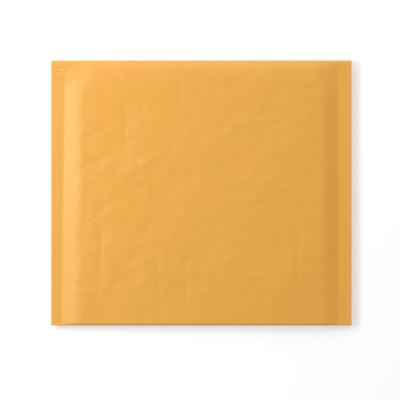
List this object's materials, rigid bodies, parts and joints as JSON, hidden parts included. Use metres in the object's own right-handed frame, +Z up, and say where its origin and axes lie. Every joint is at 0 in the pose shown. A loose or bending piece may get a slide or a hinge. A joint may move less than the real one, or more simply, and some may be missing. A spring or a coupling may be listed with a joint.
{
  "type": "padded envelope",
  "caption": "Gold kraft padded envelope with crushed side seams and a bubble-film lining, empty, lying face up with its flap folded behind.",
  "frame": {"origin": "centre of the envelope's outline, on the surface it lies on", "axes": "+X across the front to the right as the picture shows it, +Y from the bottom fold to the top fold, +Z up out of the front face"},
  "size_m": [0.2, 0.1764, 0.0087],
  "materials": {
    "kraft_paper": "satin",
    "bubble_film": "gloss",
    "glue": "gloss",
    "release_paper": "satin"
  },
  "bodies": {
    "root": {"kraft_cover": "kraft_paper", "bubble_lining": "bubble_film", "adhesive_strip": "glue", "release_liner": "release_paper"}
  },
  "joints": []
}
